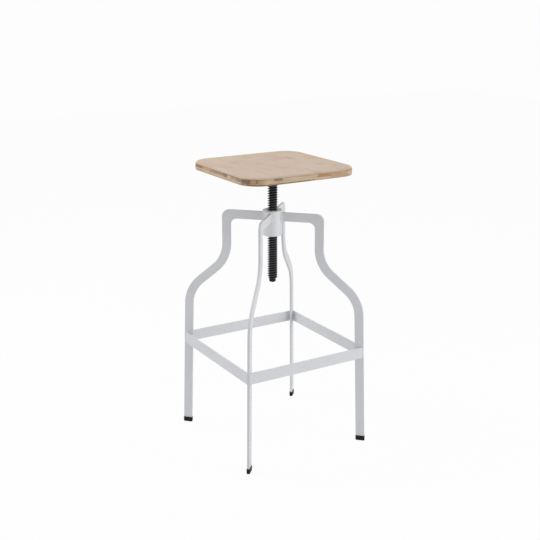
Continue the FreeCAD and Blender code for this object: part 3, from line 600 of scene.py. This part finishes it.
def plated_steel(settings):
    """Zinc plating with a dull bloom in patches."""
    material, tree, shader, place = new_finish("plated_steel")
    bloom = noise(tree, place, 420.0, 4.0)
    patches = ramp(tree, bloom, 0.35, 0.7)
    zinc = blend(tree, patches, settings.plated_steel, shade(settings.plated_steel, 0.72))
    feed(tree, shader.inputs["Base Color"], zinc)
    shader.inputs["Metallic"].default_value = 1.0
    feed(tree, shader.inputs["Roughness"], ramp(tree, bloom, 0.3, 0.7, 0.28, 0.42))
    return material


class STOOL_OT_seat(Operator):
    """Model the wooden seat from a block: round its corners, roll over its top and ease its lower edge"""

    bl_idname = "stool.seat"
    bl_label = "Seat"

    def execute(self, context):
        settings = context.scene.stool_seat
        low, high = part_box("seat_board")
        deselect()
        bpy.ops.mesh.primitive_cube_add(size=1, location=(low + high) / 2, scale=high - low)
        seat = context.active_object
        seat.name = "wooden_seat"
        bpy.ops.object.transform_apply(location=True, rotation=True, scale=True)
        pick(seat, "EDGE", lambda ends: abs(ends[0].z - ends[1].z) > SAME_PLACE)
        bpy.ops.mesh.bevel(offset=settings.corner_radius, segments=18, affect="EDGES")
        rims = ((high.z, settings.round_over, 6), (low.z, settings.lower_ease, 3))
        for height, radius, segments in rims:
            pick(seat, "EDGE", lambda ends: all(abs(end.z - height) < SAME_PLACE for end in ends))
            bpy.ops.mesh.bevel(offset=radius, segments=segments, affect="EDGES")
        finish_piece(seat, "seat", "seat_wood", seat_wood(settings), "seat_board")
        return {"FINISHED"}


class STOOL_OT_spindle(Operator):
    """Wind the lead screw's thread, trim it to length and turn a bevel on its lower end"""

    bl_idname = "stool.spindle"
    bl_label = "Spindle"

    def execute(self, context):
        settings = context.scene.stool_spindle
        low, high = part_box("spindle")
        crest = high.x
        root = settings.root_diameter / 2
        pitch = settings.pitch
        start = low.z - pitch
        turns = math.ceil((high.z - low.z) / pitch) + 2
        points = [(root + share * (crest - root), start + up * pitch) for up, share in THREAD_OUTLINE]
        screw = draw_profile("lead_screw", points)
        apply_modifier(
            screw, "SCREW", axis="Z", angle=math.tau, screw_offset=pitch, iterations=turns,
            steps=settings.steps, render_steps=settings.steps, use_merge_vertices=True,
            merge_threshold=SAME_PLACE, use_normal_calculate=True,
        )
        close_up(screw)
        for height, direction in ((low.z, -1), (high.z, 1)):
            pick(screw, "FACE", lambda corners: True)
            bpy.ops.mesh.bisect(
                plane_co=(0, 0, height), plane_no=(0, 0, direction), use_fill=True, clear_outer=True,
                threshold=SAME_PLACE / 10,
            )
        bpy.ops.object.mode_set(mode="OBJECT")
        for point in screw.data.vertices:
            reach = math.hypot(point.co.x, point.co.y)
            limit = crest - settings.end_bevel + point.co.z - low.z
            if reach > limit:
                point.co.x *= limit / reach
                point.co.y *= limit / reach
        close_up(screw)
        steel = black_steel(settings)
        finish_piece(screw, "seat", "spindle_black", steel, "spindle")
        plate = eased_copy("seat_plate", "seat_flange", context.scene.stool_frame.edge_ease)
        finish_piece(plate, "seat", "spindle_black", steel, "seat_plate")
        pin = eased_copy("spindle_end_pin", "screw_end_pin", context.scene.stool_fixings.cap_ease)
        finish_piece(pin, "end_pin", "spindle_black", steel, "spindle_end_pin")
        return {"FINISHED"}


class STOOL_OT_hub(Operator):
    """Turn the hub from its profile, with rounded rims and a bevelled bore"""

    bl_idname = "stool.hub"
    bl_label = "Hub"

    def execute(self, context):
        settings = context.scene.stool_frame
        low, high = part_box("hub")
        outside = high.x
        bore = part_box("spindle")[1].x + BORE_CLEARANCE
        rim = settings.hub_rim
        mouth = settings.hub_mouth
        points = [(bore, low.z + mouth), (bore + mouth, low.z)]
        points += rounded((outside - rim, low.z + rim), rim, -90, 0)
        points += rounded((outside - rim, high.z - rim), rim, 0, 90)
        points += [(bore + mouth, high.z), (bore, high.z - mouth), (bore, low.z + mouth)]
        hub = draw_profile("threaded_hub", points)
        choose(hub)
        bpy.ops.object.mode_set(mode="EDIT")
        bpy.ops.mesh.select_all(action="SELECT")
        bpy.ops.mesh.spin(steps=HUB_FACETS, angle=math.tau, center=(0, 0, 0), axis=(0, 0, 1))
        close_up(hub)
        finish_piece(hub, "frame", "frame_paint", bpy.data.materials["frame_paint"], "hub")
        return {"FINISHED"}


class STOOL_OT_legs(Operator):
    """Round the painted edges of the four legs and of the footrest's bars"""

    bl_idname = "stool.legs"
    bl_label = "Legs and footrest"

    def execute(self, context):
        settings = context.scene.stool_frame
        paint = frame_paint(settings)
        for side in LEGS:
            leg = eased_copy(f"leg_{side}", f"{side}_leg", settings.edge_ease)
            finish_piece(leg, "frame", "frame_paint", paint, f"leg_{side}")
        for side in BARS:
            bar = eased_copy(f"footrest_{side}", f"{side}_footrest_bar", settings.edge_ease)
            finish_piece(bar, "frame", "frame_paint", paint, f"footrest_{side}")
        return {"FINISHED"}


def weld_bead(reach, offset, radius, low, high):
    """One upright weld bead with its ripples, at a reach and offset from a leg's bearing of zero."""
    deselect()
    bpy.ops.mesh.primitive_cylinder_add(
        vertices=BEAD_SIDES, radius=radius, depth=high - low, location=(reach, offset, (low + high) / 2),
        end_fill_type="TRIFAN",
    )
    bead = bpy.context.active_object
    bpy.ops.object.transform_apply(location=True, rotation=True, scale=True)
    pick(bead, "EDGE", lambda ends: abs(ends[0].z - ends[1].z) > radius)
    bpy.ops.mesh.subdivide(number_cuts=BEAD_RINGS)
    bpy.ops.object.mode_set(mode="OBJECT")
    for point in bead.data.vertices:
        end = min(point.co.z - low, high - point.co.z)
        ripple = RIPPLE_SHARE * math.sin(math.tau * point.co.z / RIPPLE_PITCH)
        waver = WAVER_SHARE * math.sin(point.co.z * WAVER_RATE)
        swell = (1.0 + ripple + waver) * math.sqrt(min(1.0, end / radius + BLUNT_END))
        point.co.x = reach + (point.co.x - reach) * swell
        point.co.y = offset + (point.co.y - offset) * swell
    return bead


class STOOL_OT_welds(Operator):
    """Lay rippled weld beads between the arms and the hub and between the footrest and the legs"""

    bl_idname = "stool.welds"
    bl_label = "Welds"

    def execute(self, context):
        settings = context.scene.stool_frame
        half_leg = settings.leg_thickness / 2
        hub_reach = math.sqrt(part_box("hub")[1].x ** 2 - half_leg ** 2)
        inner_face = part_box("footrest_back")[0].y
        inner_corner = math.sqrt(2) * inner_face
        notch = inner_corner - half_leg
        inner_reach = notch - INNER_BEAD_SETBACK * math.cos(INNER_BEAD_ANGLE)
        inner_offset = half_leg + INNER_BEAD_SETBACK * math.sin(INNER_BEAD_ANGLE)
        outer_reach = inner_corner + OUTER_BEAD_REACH
        # Reach, offset, radius, and how far below the top a bead stops
        hub = [(hub_reach, half_leg, settings.hub_bead, 0.0)]
        footrest = [
            (inner_reach, inner_offset, settings.bar_bead, INNER_BEAD_STOP),
            (outer_reach, half_leg + OUTER_BEAD_OFFSET, OUTER_BEAD_RADIUS, 0.0),
        ]
        for name, node, beads in (
            ("hub_weld_beads", "hub_welds", hub), ("footrest_weld_beads", "footrest_welds", footrest)
        ):
            low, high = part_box(node)
            laid = []
            for reach, offset, radius, stop in beads:
                for side in (1, -1):
                    bead = weld_bead(reach, side * offset, radius, low.z, high.z - stop)
                    for index in range(len(LEGS)):
                        laid.append(placed_copy(bead, name, (0, 0, 0), leg_bearing(index)))
                    bpy.data.objects.remove(bead)
            piece = join(laid, name)
            finish_piece(piece, "frame", "frame_paint", bpy.data.materials["frame_paint"], node)
        return {"FINISHED"}


class STOOL_OT_feet(Operator):
    """Round the edges of the black foot caps"""

    bl_idname = "stool.feet"
    bl_label = "Foot caps"

    def execute(self, context):
        settings = context.scene.stool_fixings
        plastic = cap_plastic(settings)
        for side in LEGS:
            cap = eased_copy(f"foot_cap_{side}", f"{side}_foot_cap", settings.cap_ease)
            finish_piece(cap, "frame", "cap_plastic", plastic, f"foot_cap_{side}")
        return {"FINISHED"}


class STOOL_OT_screws(Operator):
    """Model one pan-head screw with a cross recess and set four of them under the seat's plate"""

    bl_idname = "stool.screws"
    bl_label = "Seat screws"

    def execute(self, context):
        settings = context.scene.stool_fixings
        low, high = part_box("seat_screws")
        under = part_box("seat_plate")[0].z
        spacing = high.x - SCREW_HEAD_RADIUS
        deselect()
        bpy.ops.mesh.primitive_cylinder_add(vertices=40, radius=SCREW_HEAD_RADIUS, depth=under - low.z)
        screw = context.active_object
        bpy.ops.object.transform_apply(location=True, rotation=True, scale=True)
        bottom = (low.z - under) / 2
        pick(screw, "EDGE", lambda ends: all(end.z < bottom + SAME_PLACE for end in ends))
        bpy.ops.mesh.bevel(offset=SCREW_HEAD_ROUNDING, segments=5, affect="EDGES")
        for turned in (0, 1):
            deselect()
            bpy.ops.mesh.primitive_cube_add(size=1, location=(0, 0, bottom))
            cutter = context.active_object
            sizes = [RECESS_LENGTH, settings.screw_recess]
            cutter.scale = (sizes[turned], sizes[1 - turned], RECESS_DEPTH)
            bpy.ops.object.transform_apply(location=True, rotation=True, scale=True)
            apply_modifier(screw, "BOOLEAN", object=cutter, operation="DIFFERENCE", solver="EXACT")
            bpy.data.objects.remove(cutter)
        screws = []
        for (x, y), turn in zip(SCREW_CORNERS, SCREW_TURNS):
            place = (x * spacing, y * spacing, (low.z + under) / 2)
            screws.append(placed_copy(screw, "seat_screw", place, turn))
        bpy.data.objects.remove(screw)
        piece = join(screws, "pan_head_screws")
        finish_piece(piece, "seat", "fixing_steel", plated_steel(settings), "seat_screws")
        return {"FINISHED"}


def add_softbox(name, place, power):
    """One rectangular lamp pointed at the stool."""
    deselect()
    bpy.ops.object.light_add(type="AREA", location=place)
    lamp = bpy.context.active_object
    lamp.name = name
    lamp.data.shape = "RECTANGLE"
    lamp.data.size = SOFTBOX_WIDTH
    lamp.data.size_y = SOFTBOX_HEIGHT
    lamp.data.energy = power
    lamp.rotation_euler = (SOFTBOX_AIM - place).to_track_quat("-Z", "Y").to_euler()


def seen_directly(tree):
    """One for rays from the camera, from mirrors and through glass, nothing for scattered light."""
    path = add_node(tree, "ShaderNodeLightPath", {}).outputs
    seen = calc(tree, "MAXIMUM", path["Is Camera Ray"], path["Is Glossy Ray"])
    return calc(tree, "MAXIMUM", seen, path["Is Transmission Ray"])


class STOOL_OT_stage(Operator):
    """Set up the floor, the white background, the softboxes and the camera"""

    bl_idname = "stool.stage"
    bl_label = "Stage"

    def execute(self, context):
        settings = context.scene.stool_stage
        scene = context.scene
        deselect()
        bpy.ops.mesh.primitive_plane_add(size=FLOOR_SIZE, location=(0, 0, -FLOOR_DROP))
        floor = context.active_object
        floor.name = "studio_floor"
        bpy.ops.object.transform_apply(location=True, rotation=True, scale=True)
        material, tree, shader, _ = new_finish("studio_white")
        shader.inputs["Base Color"].default_value = settings.backdrop
        shader.inputs["Roughness"].default_value = 0.9
        shader.inputs["Specular IOR Level"].default_value = 0.0
        glow = add_node(tree, "ShaderNodeEmission", {"Color": WHITE, "Strength": 1.0}).outputs[0]
        share = calc(tree, "MULTIPLY", seen_directly(tree), FLOOR_GLOW)
        mixed = add_node(tree, "ShaderNodeMixShader", {0: share, 1: shader.outputs[0], 2: glow}).outputs[0]
        feed(tree, tree.nodes["Material Output"].inputs["Surface"], mixed)
        floor.data.materials.append(material)

        world = bpy.data.worlds.new("studio_world")
        scene.world = world
        world.use_nodes = True
        sky = world.node_tree
        background = sky.nodes["Background"]
        background.inputs["Color"].default_value = WHITE
        strength = ramp(sky, seen_directly(sky), 0.0, 1.0, SCATTERED_LIGHT, SEEN_BACKGROUND)
        feed(sky, background.inputs["Strength"], strength)
        for name, place, power in SOFTBOXES:
            add_softbox(name, place, power)

        flat = math.cos(settings.elevation)
        up = math.sin(settings.elevation)
        back = Vector((math.sin(settings.azimuth) * flat, -math.cos(settings.azimuth) * flat, up))
        rightwards = Vector((math.cos(settings.azimuth), math.sin(settings.azimuth), 0.0))
        target = Vector((0.0, 0.0, settings.aim_height)) - settings.aim_left * rightwards
        deselect()
        bpy.ops.object.camera_add(location=target + settings.distance * back)
        camera = context.active_object
        camera.name = "studio_camera"
        camera.rotation_euler = (-back).to_track_quat("-Z", "Y").to_euler()
        camera.data.lens = settings.lens
        camera.data.sensor_width = 36.0
        scene.camera = camera
        scene.view_settings.view_transform = "Standard"
        return {"FINISHED"}


STEPS = (
    STOOL_OT_legs, STOOL_OT_hub, STOOL_OT_welds, STOOL_OT_feet, STOOL_OT_seat, STOOL_OT_spindle,
    STOOL_OT_screws, STOOL_OT_stage,
)
SETTINGS = {
    "stool_seat": SeatSettings, "stool_spindle": SpindleSettings, "stool_frame": FrameSettings,
    "stool_fixings": FixingSettings, "stool_stage": StageSettings,
}


class VIEW3D_PT_stool(Panel):
    """The steps and the settings of the stool, in the sidebar."""

    bl_label = "Swivel Bar Stool"
    bl_idname = "VIEW3D_PT_stool"
    bl_space_type = "VIEW_3D"
    bl_region_type = "UI"
    bl_category = "Stool"

    def draw(self, context):
        for step in STEPS:
            self.layout.operator(step.bl_idname)
        for name, group in SETTINGS.items():
            box = self.layout.box()
            for prop in group.__annotations__:
                box.prop(getattr(context.scene, name), prop)


CLASSES = (*SETTINGS.values(), *STEPS, VIEW3D_PT_stool)


def register():
    """Add the classes, and the settings to the scene."""
    for entry in CLASSES:
        bpy.utils.register_class(entry)
    for name, group in SETTINGS.items():
        setattr(bpy.types.Scene, name, PointerProperty(type=group))


def unregister():
    """Take the settings and the classes away again."""
    for name in SETTINGS:
        delattr(bpy.types.Scene, name)
    for entry in reversed(CLASSES):
        bpy.utils.unregister_class(entry)


def main():
    """Dress the stool step by step."""
    register()
    bpy.ops.stool.legs()
    bpy.ops.stool.hub()
    bpy.ops.stool.welds()
    bpy.ops.stool.feet()
    bpy.ops.stool.seat()
    bpy.ops.stool.spindle()
    bpy.ops.stool.screws()
    bpy.ops.stool.stage()


if __name__ == "__main__":
    main()
